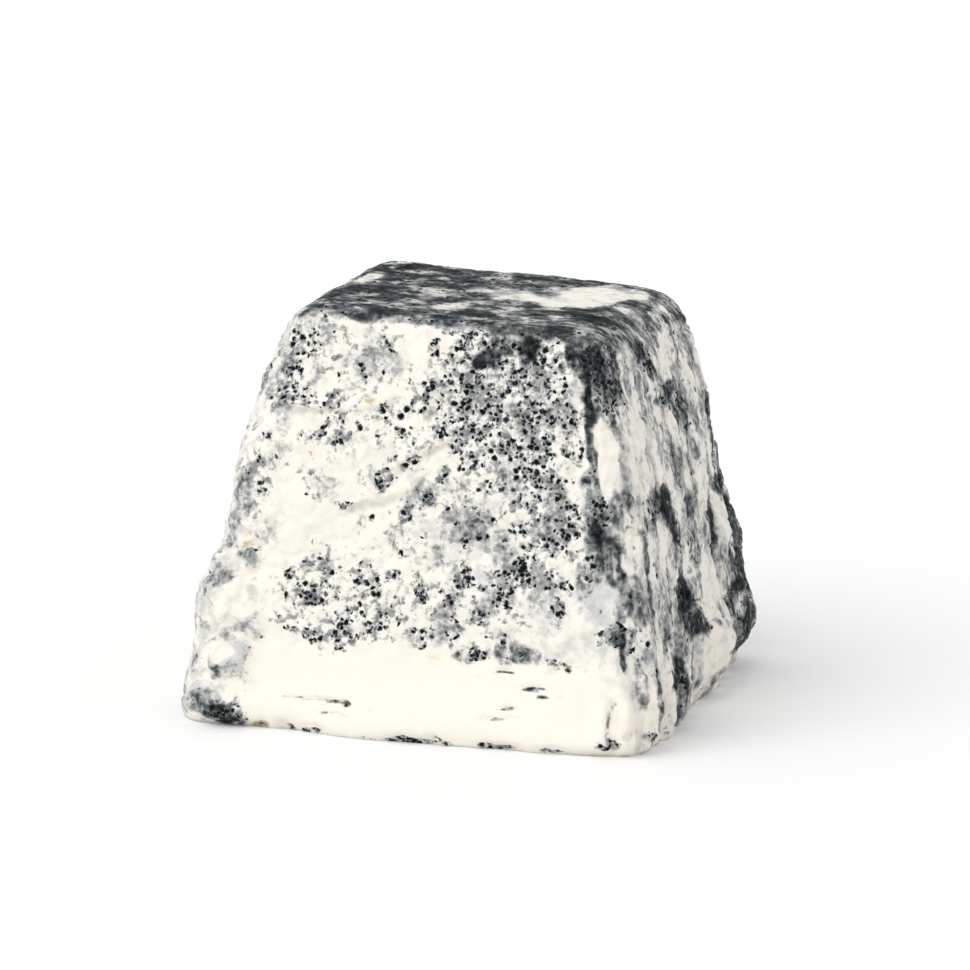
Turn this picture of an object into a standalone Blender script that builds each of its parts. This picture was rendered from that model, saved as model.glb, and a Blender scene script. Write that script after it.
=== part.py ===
"""An ash-coated goat's cheese, moulded as a pyramid with its point cut off.

One solid, in metres. The origin is on the table under the middle of the cheese, +Z is up,
the side with the speckled face looks along -Y and the streaked side along +X.

Run with: blender --background --python part.py
"""

import math

import bmesh
import bpy
from mathutils import Vector, noise

MM = 0.001

# Corner places before rounding, in millimetres. The curd slumped as it drained, so the top
# slopes down towards the right and no two corners are quite alike.
FOOT_CORNERS = {
    "front_left": (-37.2, -37.4, 0.0),
    "front_right": (36.2, -37.0, 0.0),
    "back_right": (36.8, 36.6, 0.0),
    "back_left": (-36.8, 36.8, 0.0),
}
TOP_CORNERS = {
    "front_left": (-24.8, -25.4, 61.3),
    "front_right": (24.4, -26.0, 60.2),
    "back_right": (25.2, 25.2, 59.2),
    "back_left": (-25.6, 25.6, 62.0),
}
HEIGHT = sum(corner[2] for corner in TOP_CORNERS.values()) / len(TOP_CORNERS)
BELLY = 1.2                # how far the sides swell out at half their height, mm

# Widths of the rounded edges, in millimetres.
ROUND_UPRIGHT = {"front_left": 8.0, "front_right": 7.0, "back_right": 9.5, "back_left": 8.0}
ROUND_TOP = {"front": 4.2, "right": 8.5, "back": 5.0, "left": 7.5}
ROUND_STEPS = 6

# The sides of the mould, as pairs of corners read from left to right from outside.
SIDES = {
    "front": ("front_left", "front_right"),
    "right": ("front_right", "back_right"),
    "back": ("back_right", "back_left"),
    "left": ("back_left", "front_left"),
}

FINE_VOXEL = 0.85          # grain of the clay that the relief is worked into, mm
FLAT_FOOT_UNDER = 0.45     # what lies lower than this is pressed flat on the table, mm
UNDER_PULL = 0.02          # how soon the underside moves straight out with the sides, per mm
SMOOTH_FACTOR = 0.5
MOULD_PASSES = 4           # smoothing of the moulded form, and of the worked clay
WORKED_PASSES = 2
MOST_TRIANGLES = 10600

# Lumps and hollows that show, each where it lies on a side: millimetres from the side's
# middle line, millimetres above the table, radius across, radius up, and how far it stands
# out, or in where it is negative.
LUMPS = {
    "front": [
        (-32.0, 18.5, 5.5, 5.6, 0.9),     # shoulder on the left edge
        (-31.0, 26.2, 4.4, 1.8, -1.0),    # crease over the shoulder
        (-34.2, 11.6, 3.4, 2.4, -0.9),    # waist between shoulder and foot
        (-28.4, 10.0, 2.5, 2.7, 1.4),     # round blister
        (-34.6, 5.2, 4.2, 3.4, 0.7),      # foot flare
        (-28.4, 2.2, 3.8, 2.0, 0.9),      # clump beside it
        (-29.8, 36.5, 5.0, 4.5, 0.5),     # bulge high on the left edge
        (-20.0, 41.0, 7.5, 4.5, 0.4),     # broad curd left of the crack
        (-11.5, 44.8, 4.5, 1.2, -0.45),   # slanting crack under the upper curds
        (-5.5, 47.2, 3.6, 1.0, -0.4),
        (-12.0, 35.5, 6.0, 6.5, 0.5),
        (0.0, 35.5, 4.6, 3.4, -0.35),     # hollow before the middle ridge
        (4.5, 31.5, 6.5, 3.6, 0.5),
        (-4.5, 52.5, 6.5, 3.8, 0.4),
        (11.0, 23.5, 5.0, 5.5, 0.45),
        (-17.0, 19.5, 7.0, 4.5, 0.4),
        (18.0, 41.5, 6.0, 6.0, 0.35),
        (23.5, 19.8, 4.5, 4.0, 0.8),      # curds over the corner's foot
        (24.5, 13.4, 6.0, 1.5, -0.6),     # their lower seam
        (29.6, 13.0, 4.6, 3.8, 1.0),
        (27.2, 6.2, 1.3, 3.4, -0.8),      # crack beside the corner's foot
        (30.8, 6.8, 3.8, 3.0, 1.3),       # fold of the corner's foot
        (27.8, 1.9, 3.6, 1.8, 0.9),
        (2.0, 1.4, 21.0, 4.8, 2.9),       # the foot swells out along its middle
        (20.0, 1.2, 6.0, 1.5, 0.6),
        (-24.0, 2.0, 7.0, 3.0, 0.8),
        (34.6, 2.4, 2.4, 2.0, 1.2),       # knob at the corner
        (-18.2, 0.7, 2.4, 1.2, -1.0),     # nicks under the front foot
        (-23.5, 0.7, 1.8, 1.2, -0.9),
        (1.5, 0.4, 6.0, 1.1, -0.8),
        (14.5, 0.4, 3.0, 1.0, -0.7),
    ],
    "right": [
        (-34.5, 0.8, 6.0, 3.2, -2.0),     # the front corner rounds off at the table
        (-30.5, 11.0, 3.0, 6.0, 0.7),
        (-25.5, 8.0, 1.6, 7.0, -0.5),     # folds that run down to the foot
        (-19.8, 6.0, 1.8, 7.0, -1.1),
        (-22.8, 5.0, 2.0, 5.0, 0.8),      # drapes between and beside them
        (-15.5, 5.0, 2.2, 5.5, 1.0),
        (-9.0, 6.0, 1.7, 6.0, -0.6),
        (-3.5, 8.0, 4.2, 6.5, 0.9),
        (10.5, 6.8, 6.0, 6.0, 1.7),       # white lobe
        (20.5, 5.0, 1.8, 5.0, -0.8),
        (30.5, 9.4, 5.0, 4.4, 0.2),       # lobe that overhangs the back corner
        (27.0, 1.2, 11.0, 3.0, -2.2),     # and the hollow under it
        (2.0, 0.8, 26.0, 3.4, -2.1),      # the foot draws in along this side
        (32.0, 20.0, 5.0, 4.6, 0.9),
        (8.0, 30.0, 7.0, 9.0, 0.5),
        (-10.0, 38.0, 6.0, 8.0, 0.4),
        (20.0, 45.0, 6.0, 7.0, 0.35),
    ],
    "back": [
        (-31.0, 9.4, 5.0, 4.4, 0.6),      # the same lobe, from behind
        (-30.0, 1.2, 7.0, 3.0, -1.6),
        (-16.0, 4.0, 4.5, 3.5, 1.0),
        (2.0, 7.0, 6.5, 5.0, 1.0),
        (18.0, 3.0, 5.0, 3.0, 1.1),
        (31.0, 14.0, 5.0, 6.0, 1.2),
        (9.5, 15.0, 4.5, 1.6, -0.6),
        (-8.0, 34.0, 7.5, 7.0, 0.6),
        (14.0, 42.0, 6.0, 6.5, 0.5),
        (-20.0, 24.0, 6.0, 5.0, 0.5),
    ],
    "left": [
        (-30.5, 8.0, 5.0, 5.0, 1.2),
        (-14.0, 3.5, 5.0, 3.2, 1.1),
        (3.0, 9.0, 6.0, 5.0, 0.9),
        (17.0, 4.0, 4.5, 3.6, 1.2),
        (28.5, 17.5, 5.0, 5.2, 0.7),
        (28.0, 26.0, 5.5, 1.8, -0.8),     # the front crease, carried round the edge
        (-5.0, 30.0, 8.0, 7.0, 0.6),
        (10.0, 45.0, 6.0, 5.5, 0.5),
        (-20.0, 20.0, 6.0, 1.8, -0.5),
    ],
}

LUMP_FACING = 0.1          # how squarely a point has to face a side to take its lumps
LUMP_REACH = 6.0           # squared distance, in radii, past which a lump has faded out

# Drapes in the skin at the foot of each side: how far they stand out, how high they reach
# and how many millimetres lie between two of them.
DRAPES = {
    "front": (0.08, 6.0, 9.0),
    "right": (0.42, 15.0, 5.2),
    "back": (0.4, 13.0, 6.4),
    "left": (0.35, 11.0, 7.5),
}
DRAPE_FACING = (0.35, 0.9)     # how squarely a point faces a side, for no folds and full folds
DRAPE_SWAY = 11.0              # over how many millimetres the folds wander and come and go
DRAPE_WANDER = 1.3             # how far they wander, in spacings
DRAPE_CLUMPS = (-0.25, 0.35)   # noise that leaves out the folds, and that brings them in full

CURD_SIZE = 9.0            # size of the curds that the ladle left, mm
CURD_DEPTH = 0.55
CURD_DRAW = Vector((3.1, 7.7, 1.9))     # the place in the noise that the curds are drawn from
RIPPLE_SIZE = 17.0         # slow unevenness of the whole form, mm
RIPPLE_DEPTH = 0.5
SMOOTH_BAND = 13.0         # height of the plain band at the front foot, mm
SMOOTH_BAND_FADE = 3.0
FRONT_FACING = -0.6
BAND_PLAINNESS = 0.85      # share of the curds that the band and the top leave out
TOP_PLAINNESS = 0.55
TOP_FACING = (0.6, 0.9)    # upward part of the normal where the sides end and the top begins


def clear_scene():
    for obj in list(bpy.data.objects):
        bpy.data.objects.remove(obj, do_unlink=True)


def ease(value, low, high):
    """0 below low, 1 above high, and a smooth step between them."""
    share = min(1.0, max(0.0, (value - low) / (high - low)))
    return share * share * (3.0 - 2.0 * share)


def cheese_material():
    material = bpy.data.materials.new("ashed_rind")
    material.use_nodes = True
    shader = material.node_tree.nodes["Principled BSDF"]
    shader.inputs["Base Color"].default_value = (0.62, 0.61, 0.57, 1.0)
    shader.inputs["Roughness"].default_value = 0.6
    shader.inputs["Metallic"].default_value = 0.0
    return material


def corner_of(vertex):
    """The name of the corner that a corner of the starting box stands for."""
    depth = "front" if vertex.co.y < 0 else "back"
    width = "left" if vertex.co.x < 0 else "right"
    return f"{depth}_{width}"


def edge_width(edge):
    """How wide, in millimetres, the rounding of one edge is: none round the foot."""
    low, high = sorted(edge.verts, key=lambda v: v.co.z)
    if high.co.z < 0:
        return 0.0
    if low.co.z < 0:
        return ROUND_UPRIGHT[corner_of(low)]
    middle = (low.co + high.co) / 2
    if abs(middle.x) > abs(middle.y):
        return ROUND_TOP["right" if middle.x > 0 else "left"]
    return ROUND_TOP["front" if middle.y < 0 else "back"]


def moulded_form(collection):
    """A box drawn out to the eight corners, with each edge rounded to its own width."""
    mesh = bpy.data.meshes.new("cheese")
    sculpt = bmesh.new()
    bmesh.ops.create_cube(sculpt, size=1.0)
    weight = sculpt.edges.layers.float.new("bevel_weight_edge")
    widest = max(*ROUND_UPRIGHT.values(), *ROUND_TOP.values())
    for edge in sculpt.edges:
        edge[weight] = edge_width(edge) / widest
    for vertex in sculpt.verts:
        corners = TOP_CORNERS if vertex.co.z > 0 else FOOT_CORNERS
        vertex.co = Vector(corners[corner_of(vertex)]) * MM
    sculpt.to_mesh(mesh)
    sculpt.free()
    form = bpy.data.objects.new("cheese", mesh)
    collection.objects.link(form)
    rounding = form.modifiers.new("rounded edges", "BEVEL")
    rounding.limit_method = "WEIGHT"
    rounding.offset_type = "WIDTH"
    rounding.width = widest * MM
    rounding.segments = ROUND_STEPS
    clay = form.modifiers.new("clay", "REMESH")
    clay.mode = "VOXEL"
    clay.voxel_size = FINE_VOXEL * MM
    soften = form.modifiers.new("soften", "SMOOTH")
    soften.factor = SMOOTH_FACTOR
    soften.iterations = MOULD_PASSES
    return form


def apply_modifiers(obj):
    """Swaps the object's mesh for the one that its modifiers make."""
    graph = bpy.context.evaluated_depsgraph_get()
    made = bpy.data.meshes.new_from_object(obj.evaluated_get(graph))
    before = obj.data
    obj.modifiers.clear()
    obj.data = made
    bpy.data.meshes.remove(before)
    made.name = obj.name


def side_frames():
    """For each side: its foot's middle, the way along it, and the way up its slope, in mm."""
    frames = {}
    for side, (left, right) in SIDES.items():
        foot_left, foot_right = Vector(FOOT_CORNERS[left]), Vector(FOOT_CORNERS[right])
        top_left, top_right = Vector(TOP_CORNERS[left]), Vector(TOP_CORNERS[right])
        foot = (foot_left + foot_right) / 2
        rise = (top_left + top_right) / 2 - foot
        frames[side] = (foot, (foot_right - foot_left).normalized(), rise / rise.z)
    return frames


def lump_height(point, facing, frames):
    """How far, in mm, the named lumps move a point that faces that way."""
    moved = 0.0
    for side, lumps in LUMPS.items():
        foot, along, slope = frames[side]
        outward = along.cross(slope).normalized()
        if facing.dot(outward) < LUMP_FACING:
            continue
        for place, up, across, tall, height in lumps:
            middle = foot + along * place + slope * up
            away = point - middle
            flat = (away.dot(along) / across) ** 2 + (away.z / tall) ** 2
            deep = (away.dot(outward) / (across + tall)) ** 2
            if flat + deep < LUMP_REACH:
                moved += height * math.exp(-flat - deep)
    return moved


def drape_height(point, facing, frames):
    """Folds that hang down to the foot, like the skin on drying paint."""
    moved = 0.0
    for side, (depth, reach, spacing) in DRAPES.items():
        foot, along, slope = frames[side]
        outward = along.cross(slope).normalized()
        share = ease(facing.dot(outward), *DRAPE_FACING)
        if share == 0.0:
            continue
        place = (point - foot).dot(along)
        sway = noise.noise(Vector((place / DRAPE_SWAY, point.z / DRAPE_SWAY, foot.x)))
        clump = noise.noise(Vector((place / DRAPE_SWAY, foot.y, foot.x)))
        turn = place / spacing + DRAPE_WANDER * sway
        fold = ease(clump, *DRAPE_CLUMPS) * math.cos(math.tau * turn)
        moved += share * depth * fold * math.exp(-((point.z / reach) ** 2))
    return moved


def belly_height(point, facing):
    """The swell of the sides, widest at half their height."""
    share = min(1.0, max(0.0, point.z / HEIGHT))
    return BELLY * 4.0 * share * (1.0 - share) * (1.0 - ease(facing.z, *TOP_FACING))


def curd_height(point, facing):
    """Soft curds, fainter on the smooth front band and on the top."""
    slow = noise.noise(point / RIPPLE_SIZE)
    curd = noise.noise(point / CURD_SIZE + CURD_DRAW)
    above_band = ease(point.z, SMOOTH_BAND - SMOOTH_BAND_FADE, SMOOTH_BAND + SMOOTH_BAND_FADE)
    kept = 1.0 - TOP_PLAINNESS * ease(facing.z, *TOP_FACING)
    if facing.y < FRONT_FACING:
        kept *= 1.0 - BAND_PLAINNESS * (1.0 - above_band)
    return RIPPLE_DEPTH * slow + CURD_DEPTH * curd * kept


def work_relief(mesh):
    """Moves every point of the clay along its normal."""
    frames = side_frames()
    normals = [vertex.normal.copy() for vertex in mesh.vertices]
    for vertex, facing in zip(mesh.vertices, normals, strict=True):
        point = vertex.co / MM
        if facing.z < 0.0:
            facing = Vector((facing.x, facing.y, 0.0)) + point.xy.to_3d() * UNDER_PULL
            facing.normalize()
        moved = lump_height(point, facing, frames)
        moved += drape_height(point, facing, frames)
        moved += curd_height(point, facing)
        moved += belly_height(point, facing)
        vertex.co += facing * moved * MM


def ease_creases(obj):
    """Takes the sharpness off the creases of the worked clay."""
    smooth = obj.modifiers.new("ease creases", "SMOOTH")
    smooth.factor = SMOOTH_FACTOR
    smooth.iterations = WORKED_PASSES
    apply_modifiers(obj)


def press_foot(mesh):
    """Lays what is close to the table flat on it."""
    for vertex in mesh.vertices:
        if vertex.co.z < FLAT_FOOT_UNDER * MM:
            vertex.co.z = 0.0


def thin_out(obj):
    """Keeps the points where the relief needs them, within the solid's budget."""
    obj.data.calc_loop_triangles()
    share = MOST_TRIANGLES / len(obj.data.loop_triangles)
    fewer = obj.modifiers.new("fewer faces", "DECIMATE")
    fewer.ratio = min(1.0, share)
    fewer.use_collapse_triangulate = True
    apply_modifiers(obj)


def centre_on_origin(mesh):
    """Puts the middle of the cheese's box over the origin."""
    for axis in range(2):
        places = [vertex.co[axis] for vertex in mesh.vertices]
        middle = (min(places) + max(places)) / 2
        for vertex in mesh.vertices:
            vertex.co[axis] -= middle


def build():
    clear_scene()
    collection = bpy.data.collections.new("ashed_goat_cheese")
    bpy.context.scene.collection.children.link(collection)
    cheese = moulded_form(collection)
    bpy.context.view_layer.update()
    apply_modifiers(cheese)
    work_relief(cheese.data)
    ease_creases(cheese)
    press_foot(cheese.data)
    thin_out(cheese)
    press_foot(cheese.data)
    centre_on_origin(cheese.data)
    cheese.data.materials.clear()
    cheese.data.materials.append(cheese_material())
    cheese.data.shade_smooth()
    return cheese


build()
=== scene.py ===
# %% [markdown]
# # An ash-coated goat's cheese, moulded as a pyramid with its point cut off
#
# The cheese is one soft solid. Wet curd is ladled into a tapered mould, drains under its own
# weight, is turned out, and is rubbed with black ash. The ash stays dark in the pores of the curd,
# is wiped into streaks where a hand has drawn it along, and is covered again by pale new mould.
# Nearly all of its look is in that skin, so the skin gets most of this lesson.
#
# The packed model is loaded first and stays as it is: it says where the cheese is and how large.

# %% The frame
import itertools
import math

import bmesh
import bpy
import numpy as np
from mathutils import Matrix, Vector


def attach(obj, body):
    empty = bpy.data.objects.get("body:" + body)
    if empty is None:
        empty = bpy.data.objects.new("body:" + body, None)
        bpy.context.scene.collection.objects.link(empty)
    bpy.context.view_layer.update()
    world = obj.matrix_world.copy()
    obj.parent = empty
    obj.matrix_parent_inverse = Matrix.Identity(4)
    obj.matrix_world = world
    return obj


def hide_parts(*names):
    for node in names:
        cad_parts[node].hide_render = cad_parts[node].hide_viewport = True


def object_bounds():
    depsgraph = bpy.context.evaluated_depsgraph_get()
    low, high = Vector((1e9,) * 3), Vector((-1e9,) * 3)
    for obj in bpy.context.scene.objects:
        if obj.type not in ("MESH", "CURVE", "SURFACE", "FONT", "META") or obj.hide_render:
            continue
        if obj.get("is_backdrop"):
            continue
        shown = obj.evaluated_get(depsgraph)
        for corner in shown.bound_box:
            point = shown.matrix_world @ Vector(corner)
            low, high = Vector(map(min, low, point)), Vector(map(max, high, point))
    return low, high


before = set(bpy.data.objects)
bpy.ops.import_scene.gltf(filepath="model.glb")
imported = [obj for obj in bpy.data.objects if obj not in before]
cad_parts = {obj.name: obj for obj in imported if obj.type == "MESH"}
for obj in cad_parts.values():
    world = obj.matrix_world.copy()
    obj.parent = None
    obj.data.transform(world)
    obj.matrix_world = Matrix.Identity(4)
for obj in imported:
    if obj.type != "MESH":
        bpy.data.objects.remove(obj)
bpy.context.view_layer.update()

MM = 0.001

# %% [markdown]
# ## Camera
# The cheese is seen from a little above and a little to its right, from far away, so its uprights
# hardly converge. The place is given as an angle round the cheese, an angle above the table and a
# distance, because that is how a photographer would walk to it.

# %% The camera
CAMERA_ROUND = math.radians(15.3)      # to the right of straight ahead
CAMERA_ABOVE = math.radians(11.4)
CAMERA_DISTANCE = 767 * MM
CAMERA_ROLL = math.radians(1.2)
FIELD_OF_VIEW = math.radians(11.0)
LOOK_AT = Vector((0.08, 1.23, 30.0)) * MM      # a point on the axis of the cheese
SHIFT_RIGHT, SHIFT_UP = 0.12 * MM, 1.17 * MM   # the frame's middle, from that point


def add_camera():
    """Makes the camera and returns it."""
    flat = math.cos(CAMERA_ABOVE)
    back = Vector((math.sin(CAMERA_ROUND) * flat, -math.cos(CAMERA_ROUND) * flat, math.sin(CAMERA_ABOVE)))
    right = Vector((math.cos(CAMERA_ROUND), math.sin(CAMERA_ROUND), 0.0))
    up = back.cross(right)
    rolled_right = right * math.cos(CAMERA_ROLL) + up * math.sin(CAMERA_ROLL)
    rolled_up = up * math.cos(CAMERA_ROLL) - right * math.sin(CAMERA_ROLL)
    data = bpy.data.cameras.new("camera")
    data.sensor_width = 36.0
    data.lens = data.sensor_width / 2 / math.tan(FIELD_OF_VIEW / 2)
    data.clip_start, data.clip_end = 0.05, 20.0
    camera = bpy.data.objects.new("camera", data)
    bpy.context.scene.collection.objects.link(camera)
    place = LOOK_AT + right * SHIFT_RIGHT + up * SHIFT_UP + back * CAMERA_DISTANCE
    turn = Matrix((rolled_right, rolled_up, back)).transposed()
    camera.matrix_world = Matrix.Translation(place) @ turn.to_4x4()
    bpy.context.scene.camera = camera
    return camera


add_camera()
print(f"the camera is {CAMERA_DISTANCE / MM:.0f} mm away")

# %% [markdown]
# ## Table and light
# White food on a white table needs light from all round, or its shaded side turns grey. The sky
# does most of the work, and one very broad sun in front on the left lifts the near side a little
# and leaves a soft shadow on the right. A sun lights the whole table alike, where a lamp would
# leave the far end grey. The plain sRGB view keeps the whites white.

# %% The table
TABLE_SIDE = 6.0
TABLE_DROP = 0.02 * MM      # keeps the table's face from lying in the foot's face
TABLE_WHITE = (0.93, 0.93, 0.93)


def plain_material(name, colour, roughness):
    """A material of one colour, for what isn't part of the cheese."""
    material = bpy.data.materials.new(name)
    material.use_nodes = True
    shader = material.node_tree.nodes["Principled BSDF"]
    shader.inputs["Base Color"].default_value = (*colour, 1.0)
    shader.inputs["Roughness"].default_value = roughness
    shader.inputs["Specular IOR Level"].default_value = 0.2
    return material


def add_table():
    """A broad white sheet under the cheese."""
    work = bmesh.new()
    bmesh.ops.create_grid(work, x_segments=2, y_segments=2, size=TABLE_SIDE / 2)
    bmesh.ops.translate(work, verts=work.verts, vec=(0.0, 0.0, -TABLE_DROP))
    mesh = bpy.data.meshes.new("table")
    work.to_mesh(mesh)
    work.free()
    table = bpy.data.objects.new("table", mesh)
    bpy.context.scene.collection.objects.link(table)
    mesh.materials.append(plain_material("white_table", TABLE_WHITE, roughness=0.7))
    return table


add_table()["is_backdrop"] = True
print(f"the table is {TABLE_SIDE:.0f} m square")

# %% The sky and the sun
SKY_STRENGTH = 0.84
SUN_FROM = Vector((-0.40, -0.60, 0.69))     # the way to the sun
SUN_STRENGTH = 1.22
SUN_BREADTH = math.radians(50)              # how wide it looks, which softens the shadow


def add_light():
    """An even sky, and one broad sun."""
    world = bpy.data.worlds.new("soft_sky")
    world.use_nodes = True
    sky = world.node_tree.nodes["Background"]
    sky.inputs["Color"].default_value = (1.0, 1.0, 1.0, 1.0)
    sky.inputs["Strength"].default_value = SKY_STRENGTH
    bpy.context.scene.world = world
    data = bpy.data.lights.new("sun", "SUN")
    data.energy = SUN_STRENGTH
    data.angle = SUN_BREADTH
    sun = bpy.data.objects.new("sun", data)
    bpy.context.scene.collection.objects.link(sun)
    sun.rotation_mode = "QUATERNION"
    sun.rotation_quaternion = SUN_FROM.to_track_quat("Z", "Y")


add_light()
bpy.context.scene.view_settings.view_transform = "Standard"
print(f"sky {SKY_STRENGTH}, sun {SUN_STRENGTH}")

# %% [markdown]
# ## The body of the skin
# The packed form has broad facets, fine for weighing and stacking but too coarse for skin. A voxel
# remesh turns it into an even net of small faces, as clay is, and smoothing takes the facets away.
# The flat foot needs few faces, so it gives most of its own back, which leaves more for what shows.

# %% An even net of small faces
NET_SIZE = 0.48            # mm
NET_PASSES = 18            # smoothing
FOOT_LEVEL = 0.30          # what lies lower than this, mm, belongs to the foot
FOOT_SHARE_KEPT = 0.12
MERGE_WITHIN = 0.01        # mm, points closer than this become one


def made_real(obj):
    """Swaps the object's mesh for the one that its modifiers make, and takes them off."""
    evaluated = obj.evaluated_get(bpy.context.evaluated_depsgraph_get())
    mesh = bpy.data.meshes.new_from_object(evaluated)
    obj.modifiers.clear()
    old = obj.data
    obj.data = mesh
    bpy.data.meshes.remove(old)


def points_of(mesh):
    """The mesh's points, in millimetres, one row each."""
    flat = np.empty(len(mesh.vertices) * 3, dtype=np.float32)
    mesh.vertices.foreach_get("co", flat)
    return flat.reshape(-1, 3).astype(np.float64) / MM


def normals_of(mesh):
    """The mesh's smooth normals, one row for each point."""
    flat = np.empty(len(mesh.vertices) * 3, dtype=np.float32)
    mesh.vertex_normals.foreach_get("vector", flat)
    return flat.reshape(-1, 3).astype(np.float64)


def set_points(mesh, points):
    """Moves the mesh's points to these places, in millimetres."""
    mesh.vertices.foreach_set("co", (points * MM).astype(np.float32).ravel())
    mesh.update()


def add_skin():
    """A fine copy of the packed cheese, smooth and with a thin foot."""
    work = bmesh.new()
    work.from_mesh(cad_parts["cheese"].data)
    bmesh.ops.remove_doubles(work, verts=work.verts, dist=MERGE_WITHIN * MM)
    mesh = bpy.data.meshes.new("cheese_skin")
    work.to_mesh(mesh)
    work.free()
    skin = bpy.data.objects.new("cheese_skin", mesh)
    bpy.context.scene.collection.objects.link(skin)
    net = skin.modifiers.new("net", "REMESH")
    net.mode = "VOXEL"
    net.voxel_size = NET_SIZE * MM
    smooth = skin.modifiers.new("smooth", "SMOOTH")
    smooth.factor = 0.5
    smooth.iterations = NET_PASSES
    made_real(skin)
    points = points_of(skin.data)
    low = points[:, 2] < FOOT_LEVEL
    points[low, 2] = 0.0
    set_points(skin.data, points)
    flat_faces = sum(1 for face in skin.data.polygons if all(low[i] for i in face.vertices))
    foot = skin.vertex_groups.new(name="foot")
    foot.add([int(i) for i in np.nonzero(low)[0]], 1.0, "REPLACE")
    thin = skin.modifiers.new("thin_foot", "DECIMATE")
    thin.vertex_group = "foot"
    thin.ratio = 1.0 - flat_faces * (1.0 - FOOT_SHARE_KEPT) / len(skin.data.polygons)
    made_real(skin)
    skin.vertex_groups.clear()
    return skin


skin = add_skin()
triangles = sum(len(face.vertices) - 2 for face in skin.data.polygons)
print(f"skin: {len(skin.data.vertices)} points, {triangles} triangles")

# %% [markdown]
# ## Finding one's way on the skin
# Ash marks are laid on side by side, so each side needs its own ruler. The sides lean in, and
# `across` spreads them out like a fan, from -37 at one upright to 37 at the next at any height,
# so a streak that runs down the slope keeps its place. `up` is the height. The top uses x and y.
# The marks are measured from points that soft noise has strayed a little, so each mark gets the
# torn, uneven edge that ash has.

# %% Rulers for the sides
HALF_FOOT = 37.0           # mm, from the axis to a side, at the foot
LEAST_DEPTH = 8.0          # keeps the fan from running away near the axis
TOP_TILT = (0.45, 0.90)    # the normal's upward part, from a side to the top
TOP_HEIGHT = (50.0, 56.0)  # mm, from where nothing belongs to the top to where all may
RAGGED, RAGGED_SIZE = 0.22, 1.6      # how ragged the top's border is, and its teeth, mm
STRAYS = (                 # size and reach of the noise, mm, and its seed
    (6.0, 0.8, 20),
    (2.0, 0.5, 30),
)
NOISE_CELLS = 32           # after which soft noise repeats
NOISE_SHIFT = 11.3         # in cells
SIDES = {
    "front": ((0.0, -1.0), (1.0, 0.0)),
    "right": ((1.0, 0.0), (0.0, 1.0)),
    "back": ((0.0, 1.0), (-1.0, 0.0)),
    "left": ((-1.0, 0.0), (0.0, -1.0)),
}


def eased(value, low, high):
    """0 below low, 1 above high, and a smooth step between them."""
    share = np.clip((value - low) / (high - low), 0.0, 1.0)
    return share * share * (3.0 - 2.0 * share)


def soft_noise(points, size, seed):
    """Random values from -1 to 1 that change smoothly over `size` millimetres."""
    table = np.random.default_rng(seed).uniform(-1.0, 1.0, (NOISE_CELLS,) * 3)
    cell = points / size + NOISE_SHIFT
    low = np.floor(cell).astype(int)
    part = cell - low
    part = part * part * (3.0 - 2.0 * part)
    total = np.zeros(len(points))
    for corner in itertools.product((0, 1), repeat=3):
        share = np.ones(len(points))
        for axis in range(3):
            share *= part[:, axis] if corner[axis] else 1.0 - part[:, axis]
        i, j, k = ((low[:, axis] + corner[axis]) % NOISE_CELLS for axis in range(3))
        total += share * table[i, j, k]
    return total


def strayed(points, size, reach, seed):
    """The points, each moved up to `reach` mm by noise of that size."""
    moves = [soft_noise(points, size, seed + axis) for axis in range(3)]
    return points + reach * np.stack(moves, axis=1)


points = points_of(skin.data)
normals = normals_of(skin.data)
upward = normals[:, 2] + RAGGED * soft_noise(points, RAGGED_SIZE, seed=11)
facing_up = eased(upward, *TOP_TILT) * eased(points[:, 2], *TOP_HEIGHT)
loose = points
for size, reach, seed in STRAYS:
    loose = strayed(loose, size, reach, seed)


def ruler(side, places):
    """(across, up, how fully it is on that side) for places in millimetres."""
    if side == "top":
        return places[:, 0], places[:, 1], facing_up
    out, along = (np.array(pair) for pair in SIDES[side])
    depth = places[:, :2] @ out
    across = HALF_FOOT * (places[:, :2] @ along) / np.maximum(depth, LEAST_DEPTH)
    return across, places[:, 2], (1.0 - facing_up) * (depth > 0)


print(f"{int((facing_up > 0.5).sum())} points are on the top")

# %% [markdown]
# ## Laying on the ash
# The mould's layer also holds painted shade along the creases and a ring of painted shadow round a blister,
# which the film holds too.
# A mark is one dab of a brush: where it lies on its side, how far it reaches, how it tilts and how
# strong it is. Dabs are laid one over the other, and one of strength near nothing wipes ash away.
# The places were chosen one by one. Four skins of paint are kept apart, because they look
# unlike each other: specks in the pores, a smeared film, pale new mould, and warm patches.
# The left and the back take the marks of the front and the right side, turned left to right, and
# on the back they are also narrower and taller, as ash is that was drawn down a slope.

# %% The brush
DAB_FULL, DAB_GONE = 0.65, 1.35      # in half widths, where a dab is whole and where it ends
SIDE_FULL, SIDE_GONE = 34.0, 40.0    # across, where a side blends into the next one


def dab(side, across, up, wide, high, tilt=0.0, places=loose):
    """How fully one brush mark covers each point."""
    at, height, on_side = ruler(side, places)
    turn = math.radians(tilt)
    right = (at - across) * math.cos(turn) + (height - up) * math.sin(turn)
    above = (height - up) * math.cos(turn) - (at - across) * math.sin(turn)
    reach = np.sqrt((right / wide) ** 2 + (above / high) ** 2)
    return on_side * eased(-reach, -DAB_GONE, -DAB_FULL)


def lay_on(paint, side, marks):
    """Lays marks (across, up, half width, half height, tilt, strength) on the paint, in turn."""
    for across, up, wide, high, tilt, strength in marks:
        cover = dab(side, across, up, wide, high, tilt)
        paint += (strength - paint) * cover
    return paint


def side_value(front, right, back, left, top):
    """One value on each side, blended round the corners."""
    total = top * facing_up
    weight = facing_up.copy()
    for side, value in zip(SIDES, (front, right, back, left)):
        at, _, on_side = ruler(side, loose)
        share = on_side * eased(-np.abs(at), -SIDE_GONE, -SIDE_FULL)
        total += value * share
        weight += share
    return total / np.maximum(weight, 1e-6)


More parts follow.
